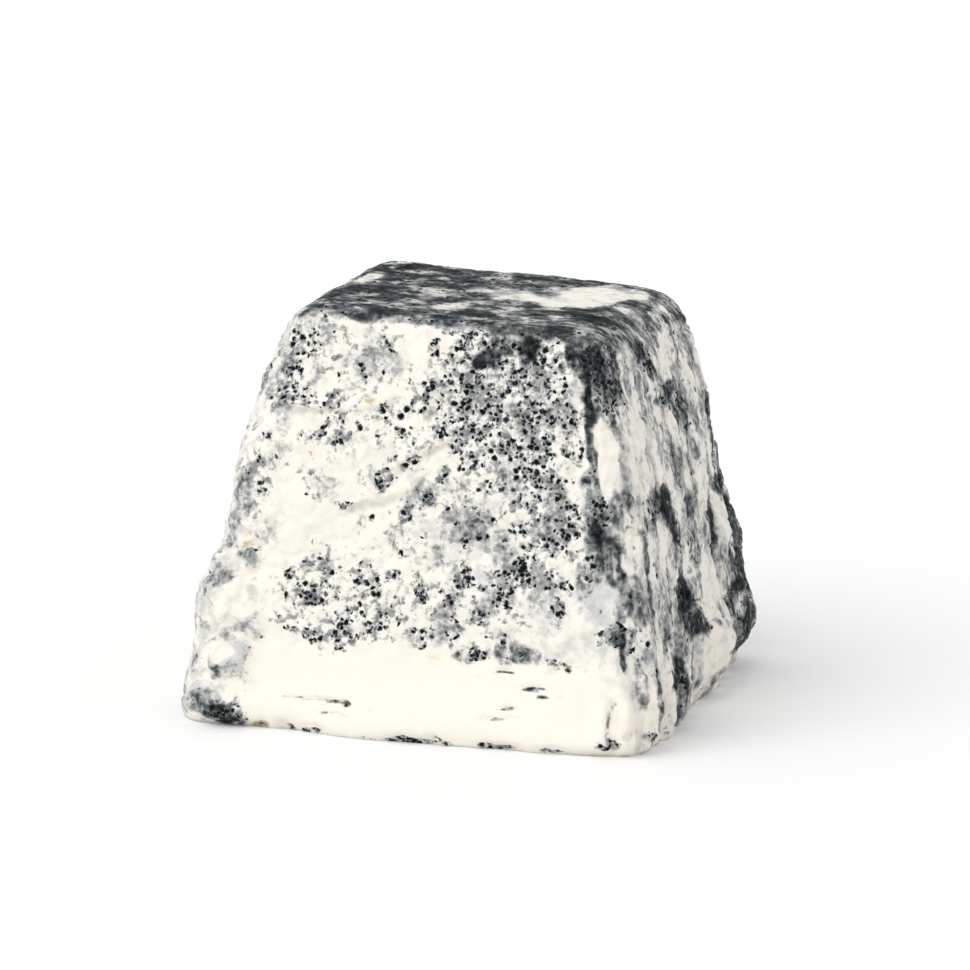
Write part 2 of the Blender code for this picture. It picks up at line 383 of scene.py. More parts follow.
def mirrored(marks, share=1.0, wider=1.0, taller=1.0):
    """The same marks turned left to right, with other strengths and proportions."""
    return [
        (-across, up, wider * wide, taller * high, -tilt, share * strength)
        for across, up, wide, high, tilt, strength in marks
    ]


sample = dab("front", 0.0, 30.0, 4.0, 2.0)
print(f"a dab 8 mm wide and 4 mm high covers {int((sample > 0.5).sum())} points")

# %% Specks in the front's pores
FRONT_SPECKS = [
    # broad crowds, thin on the left
    (14.5, 50, 16.5, 11, 0, 0.8), (20.5, 33.5, 11.5, 10, 0, 0.58), (2.5, 32, 11.5, 5.5, 20, 0.48),
    (1.5, 20.5, 24, 7, 0, 0.42), (-29.5, 54, 7.5, 8.5, 0, 0.6), (-15.5, 54.5, 11, 5, 0, 0.52),
    (-18, 45, 8, 6, 0, 0.52), (-32, 38, 6, 9.5, 0, 0.44), (-15, 19.5, 9.5, 7.5, 0, 0.56),
    (-5, 44, 6, 7, 0, 0.54), (-17, 37, 8, 4, 0, 0.38),
    # clean patches between them
    (-27, 45.3, 5.5, 2, 0, 0.12), (-15.5, 36.5, 3, 3.5, 0, 0.22), (-11.5, 41.5, 3, 2.2, 0, 0.22),
    (-24.5, 33.5, 3.6, 3.6, 0, 0.22), (1, 29, 4, 1.4, 0, 0.2),
    # the left shoulder
    (-30.5, 58.5, 3.5, 1.3, 50, 0.78), (-34, 55.5, 1, 0.8, 0, 0.95), (-32, 50, 3, 1, -50, 0.92),
    (-29, 52.5, 1, 1.5, 0, 0.8), (-26, 52.5, 3, 2, 0, 0.5), (-23.5, 57, 2, 0.6, 0, 0.75),
    (-20, 57.5, 2, 1.5, 0, 0.45), (-14.5, 60, 2, 0.6, 0, 0.85), (-6, 60, 1.4, 0.8, 0, 0.97),
    (-10, 56.5, 3, 0.6, -35, 0.95), (-9.5, 55.5, 2, 0.5, -10, 0.6), (-18, 53, 2, 0.8, 0, 0.5),
    # above the middle
    (-1, 50, 0.9, 1.5, 0, 0.85), (2.5, 51, 3, 1, -30, 0.88), (-23.5, 48, 2.5, 0.6, 0, 0.75),
    (-19, 48, 1.5, 2.5, 10, 0.78), (-15.5, 46.5, 1.5, 0.6, 25, 0.8), (-20, 44, 2.5, 0.8, 40, 0.85),
    (-17, 42.5, 1.7, 1, 50, 0.7), (-8.5, 48, 1.5, 0.6, 0, 0.65), (-5.5, 44, 0.8, 0.6, 0, 0.8),
    (-28.5, 39, 1.2, 2, 0, 0.6), (-29, 35.5, 2, 1, -30, 0.62), (-14.5, 34, 1.6, 0.6, -10, 0.97),
    (-8, 37, 2, 1.5, 0, 0.85), (-3.5, 39.5, 2.5, 0.8, 20, 0.85), (2.5, 38, 1, 1.5, 0, 0.85),
    (7, 40, 2.5, 1.5, 0, 0.72), (0.5, 34, 3, 1, 20, 0.75), (-3.5, 32, 2, 0.8, 0, 0.8),
    (-9.5, 31.5, 0.8, 0.6, 0, 0.95),
    # the upper right, the thickest crowd
    (4.5, 59.5, 5, 1, 0, 0.93), (-0.5, 57, 1.2, 1, 0, 0.9), (9, 57.5, 2, 1.5, 0, 0.82),
    (24, 58.5, 5, 1.5, 0, 0.99), (2.5, 55.5, 3.5, 1, 0, 0.82), (7.5, 53.5, 3, 1.5, 0, 0.98),
    (13.5, 54, 3, 1.5, 0, 0.75), (20, 55, 2.5, 1, 0, 0.92), (27, 55.5, 2, 1.3, 0, 0.82),
    (11.5, 51, 6, 2, 0, 0.84), (23.5, 52, 4, 2, 0, 0.74), (28.3, 52, 1.1, 3, 0, 0.05),
    (36.5, 55, 3.5, 6, 0, 0.97),
    (16, 49, 3.5, 1, 0, 0.85), (26.5, 49, 2.5, 1.3, 0, 0.85), (14.5, 45.5, 5.5, 2, 0, 0.8),
    (25, 46.5, 4, 1.5, 0, 0.78), (18.5, 43, 5.5, 1.5, 0, 0.88), (10.5, 43, 2.5, 1.5, 0, 0.7),
    (27.5, 44, 2.5, 2, 0, 0.78), (26, 41, 2, 1.3, 0, 0.06), (19.5, 39.5, 3.5, 2, 0, 0.88),
    (28.5, 37.5, 2, 1.5, 0, 0.1), (13, 37.5, 3, 1, 0, 0.6),
    # right of the middle
    (10.5, 33.5, 2, 1.3, 0, 0.8), (20.5, 34, 2.5, 2, 0, 0.7), (24, 36.5, 1.4, 1.5, 0, 0.72),
    (26.5, 34.5, 1.6, 1.3, 0, 0.88), (32.5, 35.5, 3, 2, 0, 0.95), (9, 31, 4, 2, 0, 0.62),
    (24, 29.5, 2.5, 1, 0, 0.88), (19, 29, 1.2, 0.8, 0, 0.88), (26.5, 31.5, 1.4, 1.3, 0, 0.95),
    # the lower left
    (-19, 28, 1.3, 0.6, -30, 0.72), (-18, 24.5, 2.5, 1.5, -20, 0.78), (-22.5, 22.5, 0.9, 0.8, 0, 0.97),
    (-21, 19, 1, 4, 0, 0.62), (-18, 20, 1.3, 1.3, 0, 0.88), (-21.5, 15, 1, 0.6, 0, 0.85),
    (-17, 14.5, 2.5, 0.8, 8, 0.88), (-12, 15, 3, 2, -25, 0.8), (-12, 18, 1.6, 0.8, 20, 0.72),
    (-10, 22.5, 2.5, 2, 0, 0.74), (-7, 20.5, 0.9, 1.5, 0, 0.78), (-6.5, 17, 1.6, 2.5, -25, 0.8),
    (-5.5, 24, 1, 0.6, 0, 0.75),
    # the lower middle and right
    (-0.5, 22.5, 2, 1.5, -40, 0.97), (-1, 16.5, 1.4, 0.6, 0, 0.9), (5, 21.5, 2.5, 1, 30, 0.9),
    (7.5, 25, 1.7, 1.5, 0, 0.8), (10, 23, 2.5, 0.6, 0, 0.8), (5, 17, 2, 2, 0, 0.85),
    (9.5, 19, 1.6, 2, 0, 0.97), (2, 16.5, 0.7, 1.5, 0, 0.75), (15, 22.5, 2, 3, 15, 0.88),
    (14, 24.5, 1.7, 1, 0, 0.85), (18, 25.5, 2, 2, 0, 0.9), (22, 24.5, 4, 1, -5, 0.85),
    (23.5, 21, 1, 2, 0, 0.95), (28.5, 20.5, 2, 0.6, 0, 0.55), (29.5, 25.5, 1.5, 1.5, 0, 0.9),
    (10, 13, 2, 1, 0, 0.98), (14.5, 13.5, 4.5, 0.8, 0, 0.62), (14, 15.5, 0.7, 1.3, 0, 0.85),
    (23, 13, 2, 1, 0, 0.75), (0, 13.5, 2, 0.6, 20, 0.72), (37, 16, 1.4, 1.5, 0, 0.85),
    # the left edge, and dark marks along the foot line over its nicks
    (-29, 25.5, 0.9, 0.6, 0, 0.97), (-34, 21.5, 1.3, 0.6, 0, 0.85), (-25, 13.5, 1, 0.6, -30, 0.6),
    (-27.5, 2.2, 2.5, 1.7, -10, 0.98), (30, 2, 2.5, 1, 0, 0.8), (39, 3.5, 1.5, 1, 0, 0.98),
    (-24, 1, 1.3, 0.5, 0, 0.95), (-19.5, 0.5, 1, 0.4, 0, 0.9), (-15, 0.4, 2.5, 0.4, 0, 0.8),
    (-5, 0.4, 2, 0.4, 0, 0.6), (1.5, 0.6, 5, 0.5, 0, 0.97), (13, 0.5, 3, 0.5, 0, 0.97),
    (22, 0.4, 3, 0.4, 0, 0.8), (24, 11.8, 0.8, 0.5, 0, 0.97),
]
print(f"the front's specks take {len(FRONT_SPECKS)} marks")

# %% Specks on the other sides, laid on
RIGHT_SPECKS = [
    (-34.5, 55, 7.5, 7.5, 0, 0.98), (-3, 60.5, 10.5, 1.5, 0, 0.85), (28, 57.5, 14.5, 2, 0, 0.8),
    (-6, 53.5, 5.5, 2, 0, 0.75), (3, 47.5, 8.5, 1.5, 0, 0.8), (9, 44, 5.5, 2.5, 0, 0.7),
    (-17.5, 32.5, 10.5, 2, 0, 0.85), (-6, 15, 7.5, 3, 0, 0.75), (28, 30, 7, 2, 0, 0.7),
    (27, 11, 7.5, 6.5, 0, 0.6), (-16, 6, 4, 3.5, 0, 0.7), (-41, 18, 5, 1.5, 0, 0.9),
]
TOP_SPECKS = [(14.5, 7.5, 6, 12.5, 0, 0.0)]
FOOT_WIPE = [(0, 5, 60, 5.5, 0, 0.0)]
DRAWN_DOWN = 0.55, 2.0     # how much narrower and taller the marks are on the back
LEFT_SPECKS_SHARE = 0.85   # of the front's
specks = side_value(front=0.08, right=0.05, back=0.08, left=0.08, top=0.25)
lay_on(specks, "left", FOOT_WIPE + mirrored(FRONT_SPECKS, LEFT_SPECKS_SHARE))
lay_on(specks, "back", mirrored(RIGHT_SPECKS, 1.0, *DRAWN_DOWN))
lay_on(specks, "front", FOOT_WIPE + FRONT_SPECKS)
lay_on(specks, "right", RIGHT_SPECKS)
lay_on(specks, "top", TOP_SPECKS)
print(f"specks cover {specks.mean():.2f} of the skin")

# %% The smeared film on the front, with a painted shadow ring
FRONT_FILM_AND_SHADE = [
    # a thin breath of ash over most of it
    (14.5, 50, 16.5, 11, 0, 0.38), (20.5, 33.5, 11.5, 10, 0, 0.42), (2.5, 33, 11.5, 5.5, 20, 0.44),
    (5.5, 20.5, 20, 7, 0, 0.36), (-34, 38, 5.5, 17, 0, 0.42), (-29.5, 55, 7, 7.5, 0, 0.42),
    (-15, 54, 8, 5, 0, 0.34), (-14, 38, 8, 6, 0, 0.26), (-35, 18, 6, 12, 0, 0.4),
    # the left edge is only tinted, with a painted shadow ring round a blister low down
    (-46, 24, 8, 32, 0, 0.34), (-36.5, 17, 2, 9, 5, 0.44), (-31.5, 17.5, 3.5, 3.5, 0, 0.12),
    (-29.6, 10.2, 3, 2.6, 0, 0.5), (-30.4, 11, 1.9, 1.7, 0, 0.05), (-27.5, 20, 0.8, 2, 10, 0.36),
    # under the top edge, and down the right upright
    (16.5, 57.5, 4.5, 1.5, 0, 0.75), (23.5, 58.5, 5.5, 1, 0, 0.95), (4.5, 60, 5, 1, 0, 0.55),
    (31.8, 55.5, 3.2, 5.5, 8, 0.98), (37, 58.5, 3.5, 4, 0, 0.95), (35.5, 53, 3, 3.5, 0, 0.84),
    (18, 56.5, 5, 1.6, 3, 0.98), (14, 54.5, 3, 1.2, 0, 0.75), (10.5, 55.5, 3.5, 1.6, 0, 0.85),
    (31.2, 49.5, 1.4, 5, 1, 0.84), (31.4, 42.5, 1.1, 3, 4, 0.78), (33, 49.5, 2.2, 2.2, 0, 0.94),
    (31, 38.8, 2.4, 3.2, -5, 0.84), (31, 36, 3.2, 3, 0, 0.74), (32.5, 27, 4.5, 6.5, -15, 0.58),
    (31, 30.5, 2, 3.5, 0, 0.95), (34, 26, 2.5, 5, 0, 0.85), (35.5, 22, 2.5, 2.5, 0, 0.6),
    (30.5, 21.5, 4.5, 2.6, -10, 0.42), (32, 27, 3.5, 3, 0, 0.66),
    # the lower band, and smudges
    (9, 13, 3, 1.2, 0, 0.68), (16, 13.4, 7, 1.6, -4, 0.44), (14.5, 12.6, 4, 0.6, -2, 0.62),
    (10.5, 17.5, 5.5, 2.5, 0, 0.42), (8, 31.5, 4.5, 2, 15, 0.45), (0, 29, 4, 1, -30, 0.45),
    (0.5, 34, 4, 1, 20, 0.48), (-11.5, 30.5, 1.4, 1.5, 0, 0.45), (13.5, 35.5, 6, 3, 0, 0.35),
    (-32.5, 53.5, 2.5, 1.5, 0, 0.45), (-13.5, 50.5, 2, 1.5, 0, 0.4), (-7.5, 53, 1.3, 1.5, 0, 0.4),
    (-9.5, 41.5, 1, 1.5, 0, 0.4), (4.5, 47, 2, 1.5, 0, 0.4), (16, 23, 2.5, 3, 0, 0.45),
    # the foot
    (-28, 2.4, 3, 1.9, -10, 0.8), (-34, 3.5, 3, 2.6, 0, 0.48), (39, 3.5, 1.5, 1, 0, 0.9),
    (29.5, 2, 2.5, 1, 0, 0.45),
]
print(f"the front's film takes {len(FRONT_FILM_AND_SHADE)} marks")

# %% The smeared film on the right side
RIGHT_FILM = [
    # the upper half
    (-34.5, 55, 7.5, 7.5, 0, 0.74), (-26, 58.5, 6, 2.5, 0, 0.9), (-3, 60.5, 10.5, 1.5, 0, 0.95),
    (8, 57, 3.5, 1.5, 0, 0.8),
    (28, 57.5, 14.5, 2, 0, 0.85), (35.5, 53, 5, 2.5, 0, 0.75), (-9, 55, 5, 1.5, 0, 0.85),
    (-5.5, 52, 4, 1.5, 0, 0.85), (5, 47.5, 5.5, 1.5, 0, 0.95), (-3, 47.5, 6, 0.8, 0, 0.7),
    (9, 44, 5.5, 2.5, 0, 0.88), (-26, 48.5, 9.5, 1, 0, 0.58), (27.5, 39, 4.5, 5, 0, 0.78),
    (31, 33.5, 5.5, 2, 0, 0.85), (28, 30, 7, 1.5, 0, 0.97), (33, 26.5, 4.5, 2, 0, 0.92),
    (-3.5, 38.5, 4.5, 3, 0, 0.68), (-23, 40.5, 13, 4.5, 0, 0.28),
    # the lower half, with pale lobes between dark columns
    (-22, 33, 6, 2.4, 8, 0.8), (-12, 31.5, 4.5, 3.6, -10, 0.95), (-9.5, 26, 4, 4, 0, 0.93),
    (5, 30.5, 5, 2, 0, 0.66),
    (-36, 35.5, 4, 3, 0, 0.62), (2, 24, 4, 3, 0, 0.74), (15, 24.5, 2.5, 4.5, 0, 0.93),
    (22, 24.5, 4, 3.5, 0, 0.22), (-26, 26.5, 12.5, 4, 0, 0.3), (-8.5, 18, 4.5, 4.5, 0, 0.95),
    (-5.5, 13.5, 5.5, 2, 0, 0.92), (1.5, 11.5, 4, 1.5, 0, 0.88), (8, 18, 5.5, 3.5, 0, 0.2),
    (36.5, 23, 3.5, 2.5, 0, 0.85), (29, 19.5, 6, 5, 0, 0.82), (29, 14, 8.5, 1.5, 0, 0.95),
    (17.5, 12, 3.5, 2, 0, 0.88), (27, 7.5, 5.5, 4, 0, 0.88), (3.5, 7, 9, 4, 0, 0.2),
    (15.5, 3.5, 2.5, 2, 0, 0.7), (-47.5, 26, 4, 3, 0, 0.88), (-41, 18, 4, 1.5, 0, 0.62),
    (-32, 16.5, 5.5, 3.5, 0, 0.55), (-16, 6, 4, 4, 0, 0.95), (-7, 5, 1.5, 2, 0, 0.8),
    (-30, 9, 9, 6, 0, 0.3),
    # thin streaks in the folds
    (-39, 15, 1, 3, 0, 0.75), (-32, 8, 1, 5, 2, 0.68), (-21, 9, 1.3, 4, 0, 0.8),
    (-23.5, 13.5, 1, 4, -3, 0.68), (-36, 10.5, 1, 4, 0, 0.62), (-7.5, 7, 1.5, 3, 0, 0.8),
    (-29, 18, 1.3, 5, 2, 0.62), (-18, 20, 1.3, 5, 0, 0.68), (-29.5, 28, 1.5, 5, 0, 0.6),
    (-25, 23, 1.2, 6, -2, 0.58), (-34, 24, 1, 6, 0, 0.62), (9.5, 6, 1.5, 3, 0, 0.72),
    (-31.5, 2.4, 3, 1, 0, 0.98),
]
print(f"the right side's film takes {len(RIGHT_FILM)} marks")

# %% The film on the top, the slits, and all of it laid on
TOP_FILM = [
    (14, 7.5, 5, 10.5, -12, 0.04), (19, 14.5, 2, 4.5, 0, 0.35), (5, 3.5, 6, 4.5, 0, 0.38),
    (6, 10, 1.5, 3, 0, 0.92), (-20, 5.5, 1.8, 5.5, 0, 0.36), (-18, 15, 4, 6, 0, 0.98),
    (-6.5, 13.5, 4.5, 6, 0, 0.9), (0.5, 18, 2, 4.5, 0, 0.98), (-7.5, -4, 2, 3, 0, 0.5),
    (-2, -12, 2, 4.5, 0, 0.45), (0.5, -14.5, 1, 3, 0, 0.98), (-20, -10, 2, 6, 0, 0.85),
    (-14, -3, 2, 6, 0, 0.93), (-15, -23.5, 3.5, 3, 0, 0.76), (19, -10, 4, 4, 0, 0.97),
    (24.5, 11.5, 2, 4.5, 0, 0.72), (22, 1, 2.5, 7, 0, 0.66),
]
SLITS = [
    # thin slits in the smooth band at the foot
    (-14.5, 5, 5.5, 0.22, -1, 0.5), (-12, 5, 2.5, 0.3, -1, 0.85), (-9.8, 4.9, 0.7, 0.4, 0, 0.9),
    (-12, 3.4, 2.5, 0.15, 0, 0.35), (13.5, 4.5, 3.8, 0.22, 3, 0.55), (15, 6, 1.4, 0.3, 5, 0.85),
    (19, 9, 2.1, 0.3, 6, 0.75), (20.5, 8, 1, 0.3, 0, 0.9), (14.5, 11, 1.8, 0.3, 0, 0.8),
    (22.5, 12, 1, 0.3, 10, 0.7),
    # the crack at the right corner
    (31, 7.6, 1.1, 0.25, 50, 0.36), (30.2, 5.6, 1.3, 0.3, 80, 0.6), (29.8, 3.2, 0.8, 0.25, 65, 0.36),
]
SPECKS_IN_FILM = 0.7       # the film's own pores, as a share of how thick it is
LEFT_FILM_SHARE, BACK_FILM_SHARE = 0.9, 0.95    # of the front's, and of the right side's
film = side_value(front=0.0, right=0.46, back=0.4, left=0.16, top=0.85)
lay_on(film, "left", mirrored(FRONT_FILM_AND_SHADE, LEFT_FILM_SHARE))
lay_on(film, "back", mirrored(RIGHT_FILM, BACK_FILM_SHARE, *DRAWN_DOWN))
lay_on(film, "right", RIGHT_FILM)
lay_on(film, "front", FRONT_FILM_AND_SHADE)
lay_on(film, "top", TOP_FILM)
# the slits and the corner crack are painted dark along their lines, in the film's layer
for across, up, wide, high, tilt, strength in SLITS:
    slit = dab("front", across, up, wide, high, tilt, places=points)
    film += (strength - film) * slit
# the film's ring of painted shadow goes into the specks as well
specks = np.maximum(specks, SPECKS_IN_FILM * film)
print(f"film covers {film.mean():.2f} of the skin")

# %% Pale new mould with painted shade, and warm patches
FRONT_MOULD_AND_SHADE = [
    # shadows of the creases
    (-25, 46.6, 7, 0.5, -3, 0.6), (1, 41.2, 7, 0.5, 27, 0.6), (-9.5, 33.2, 4.5, 0.5, 8, 0.6),
    (-13.5, 53.2, 3, 0.6, -25, 0.8),
    # grey mould, and a ring of painted shadow round the blister low on the left
    (-37, 43, 3, 9.5, 12, 0.35), (-36, 32.5, 3, 5, 0, 0.75), (-31, 30, 2.3, 3, 0, 0.5),
    (-35, 19.5, 4.7, 8, 0, 0.55), (-37, 15, 2, 9.5, 0, 0.8), (-31.5, 18, 2.6, 2.6, 0, 0.1),
    (-29.6, 10.2, 2.9, 2.6, 0, 1.0), (-30.3, 10.9, 1.8, 1.6, 0, 0.0), (-27.6, 20, 0.7, 2.2, 10, 0.7),
    (-34, 4, 2.8, 2.6, 0, 1.0), (-28.5, 2, 2.6, 1.7, 0, 0.95), (8, 34, 12, 6.3, 35, 0.55),
    (-2, 37.5, 10, 6.3, 0, 0.3), (14, 45.5, 13, 9.5, 0, 0.2), (14, 21, 15, 8, 0, 0.3),
    (26.5, 15.5, 7, 3, 0, 0.5), (32.5, 16.5, 3.6, 4, 0, 0.45), (30.5, 21.5, 4.5, 2.8, -10, 0.8),
]
FRONT_WARM = [
    (-12, 48.5, 1.6, 0.4, 12, 0.9), (-18, 45, 0.9, 0.4, 0, 0.6), (-22, 40.5, 1.5, 0.4, 10, 0.5),
    (-9, 35, 1, 1.1, 0, 0.6), (-1, 33.5, 5, 1.1, 8, 0.35), (20.5, 34, 1, 0.5, 0, 0.9),
    (3, 12.5, 1.4, 0.5, 0, 0.7), (-19, 26, 0.8, 0.8, 0, 0.6), (-32, 26, 0.8, 0.8, 0, 1.0),
    (-24, 1, 1.5, 0.6, 0, 1.0), (-19, 0.5, 0.8, 0.5, 0, 1.0), (1.5, 56, 2.8, 1.3, 0, 0.3),
    (4, 49, 4.8, 2.2, 0, 0.3), (32, 7, 2.7, 1.3, 0, 0.3),
]
veil = side_value(front=0.0, right=0.25, back=0.3, left=0.5, top=0.4)
lay_on(veil, "front", FRONT_MOULD_AND_SHADE)
warm = side_value(front=0.0, right=0.0, back=0.0, left=0.05, top=0.0)
lay_on(warm, "front", FRONT_WARM)
print(f"veil covers {veil.mean():.2f} of the skin")

# %% [markdown]
# ## Lumps and folds
# The soft curd slumped as it drained, so the foot flares into lumps on the left, hangs in folds on
# the right and splits at a corner. The same brush models them, but here a mark's strength is how
# far it pushes the skin out, in millimetres, or in where it is negative. The push is level, so
# the foot stays flat on the table. The slits are pushed in under the dark paint laid along them.

# %% Pushed out and in
SLIT_DEPTH = 0.35          # mm
SLIT_DIP = 2               # how much taller the dip is than the slit's own black
FRONT_LUMPS = [
    # the lumpy left edge, with a ring-shaped blister
    (-34.5, 24, 2.5, 2.5, 0, 0.9), (-31, 21, 2, 2, 0, 0.7), (-36, 15, 2.5, 3, 0, -0.6),
    (-31.5, 27, 4, 0.8, -20, -0.7), (-30, 10.5, 3, 3, 0, 0.8), (-30, 10.5, 1.8, 1.8, 0, -0.9),
    (-35, 19.5, 1.5, 1.5, 0, 0.6), (-32.5, 17, 1.5, 1.2, 0, 0.5), (-28.5, 24.5, 1.5, 1.2, 0, 0.5),
    (-34, 13, 1.2, 1.5, 0, 0.5), (-36.5, 8.5, 2, 3, 0, 0.6), (-33, 3, 4, 2.5, 0, 0.9),
    (-27, 2, 3, 1.5, 0, 0.5), (-30, 15, 4, 0.7, -10, -0.5), (-33, 6, 3, 0.7, -15, -0.5),
    # ledges and creases
    (-25, 48, 8, 0.9, -3, 0.5), (-25, 46.6, 8, 0.7, -3, -0.45), (0, 42.5, 9, 0.9, 27, 0.5),
    (1, 41.2, 8, 0.7, 27, -0.45), (-9.5, 34.5, 5, 0.9, 8, 0.5), (-9.5, 33.2, 5, 0.7, 8, -0.4),
    (-13, 54.5, 3.5, 0.8, -25, 0.45), (-13.5, 53.3, 3.5, 0.6, -25, -0.45),
    (-10, 48.5, 3, 0.8, 12, 0.35), (9, 46, 5, 1.1, 35, 0.4), (-3, 36.5, 9, 1.2, 8, 0.35),
    (3, 39.5, 8, 1, 20, -0.3), (16, 12, 9, 1, 0, -0.35), (24, 12.5, 3, 0.7, 30, -0.45),
    (-22, 41, 3, 0.8, 8, -0.3), (-30, 47.5, 4, 0.9, -12, 0.35), (-22, 33, 5, 3, 0, 0.35),
    (24, 40.5, 3, 1.8, 0, 0.35), (-26, 58, 4, 1.5, 25, 0.35), (-5, 57, 5, 2, 0, 0.3),
    # the split corner on the right, and nicks in the foot
    (34, 5, 2.8, 3.8, 0, 1.2), (39, 2.8, 2.6, 2.2, 0, 0.9), (30.4, 5, 0.9, 4, 10, -0.8),
    (36.8, 3.5, 0.8, 3, 20, -0.7), (33, 9.8, 3.2, 0.8, -20, -0.6), (33.5, 4, 1.6, 0.6, 30, -0.6),
    (-25, 0.8, 2, 0.9, 0, -0.7), (-20.5, 0.5, 1.2, 0.8, 0, -0.6), (-15, 0.5, 2.5, 0.8, 0, -0.4),
    (1, 0.5, 4, 0.8, 0, -0.5), (14, 0.5, 3, 0.8, 0, -0.5), (22, 0.5, 3, 0.8, 0, -0.4),
]
RIGHT_LUMPS = [
    # folds that hang to the foot
    (-42, 9, 1.6, 9, 0, 0.6), (-37.5, 8, 1.2, 9, 4, -0.7), (-32, 9, 1.8, 10, -3, 0.6),
    (-27, 8, 1.3, 9, 3, -0.7), (-22, 9, 2, 9, 0, 0.6), (-16, 9, 1.8, 11, -4, -1.0),
    (-10, 7, 2.2, 8, 0, 0.45), (-5.5, 7, 1.3, 6, 0, -0.5), (3.5, 8, 5, 6, 0, 0.8),
    (15, 8, 2, 7, 0, -0.9), (27, 9, 6, 6, 0, 0.6),
    # lobes above them
    (22, 25, 4, 5, 0, 0.6), (8, 18, 4.5, 4, 0, 0.5), (15, 22, 1.6, 6, 0, -0.6),
    (-9, 23, 1.8, 8, 0, -0.6), (-26, 27, 9, 6, 0, 0.4), (-3, 60, 3, 1.5, 0, -0.5),
    (30, 33, 4, 6, 0, -0.4), (5, 46, 5, 2, 0, -0.35), (-30, 41, 7, 4, 0, 0.3),
]
lift = np.zeros(len(points))
for across, up, wide, high, tilt, _ in SLITS:
    lift -= SLIT_DEPTH * dab("front", across, up, wide, SLIT_DIP * high, tilt, places=points)
for side, marks in (
    ("front", FRONT_LUMPS),
    ("right", RIGHT_LUMPS),
    ("back", mirrored(RIGHT_LUMPS)),
    ("left", RIGHT_LUMPS),
):
    for across, up, wide, high, tilt, push in marks:
        lift += push * dab(side, across, up, wide, high, tilt)
out_level = normals * (1.0, 1.0, 0.0)
points = points + lift[:, None] * out_level
set_points(skin.data, points)
print(f"the skin is pushed by {lift.min():.2f} to {lift.max():.2f} mm")

# %% Written on the skin
SQUARENESS = 8             # how square the cheese is in plan: 2 is round, more is squarer
RUBBED_FROM = (-46.0, -40.0)         # across the front, where the ash is rubbed along x
RUBBED_TO = (27.0, 33.0)
BAND_SIDE, BAND_TOP = (33.0, 40.0), (10.0, 15.0)     # across and up, where the smooth band ends


def write_value(mesh, name, values):
    """Keeps one number for each point of the mesh, for the node trees to read."""
    mesh.attributes.new(name, "FLOAT", "POINT").data.foreach_set("value", values.astype(np.float32))


def write_place(mesh, name, places):
    """Keeps one place for each point of the mesh."""
    attribute = mesh.attributes.new(name, "FLOAT_VECTOR", "POINT")
    attribute.data.foreach_set("vector", places.astype(np.float32).ravel())


def fanned(places):
    """Places spread out so that every slope stands upright, for streaks that run down it."""
    depth = (places[:, 0] ** SQUARENESS + places[:, 1] ** SQUARENESS) ** (1 / SQUARENESS)
    spread = HALF_FOOT / np.maximum(depth, LEAST_DEPTH)
    return np.stack([places[:, 0] * spread, places[:, 1] * spread, places[:, 2]], axis=1)


front_across, front_up, front_on = ruler("front", points)
near_front = front_on * eased(front_across, *RUBBED_FROM) * (1.0 - eased(front_across, *RUBBED_TO))
drawn_down = (1.0 - facing_up) * (1.0 - near_front)
plain_band = (1.0 - eased(np.abs(front_across), *BAND_SIDE)) * (1.0 - eased(front_up, *BAND_TOP))
plain_band = front_on * plain_band
write_place(skin.data, "rest", points)
write_place(skin.data, "fan", fanned(points))
for name, values in {
    "specks": specks, "film": film, "veil": veil, "warm": warm,
    "drawn_down": drawn_down, "plain_band": plain_band, "on_top": facing_up,
}.items():
    write_value(skin.data, name, np.clip(values, 0.0, 1.0))
print("kept", [a.name for a in skin.data.attributes if a.domain == "POINT"])

# %% [markdown]
# ## A hand for building node trees
# The same noise makes the pits in the mesh and the black in them, so both trees, the geometry's
# and the shader's, are built by the same functions. This small class keeps those short.

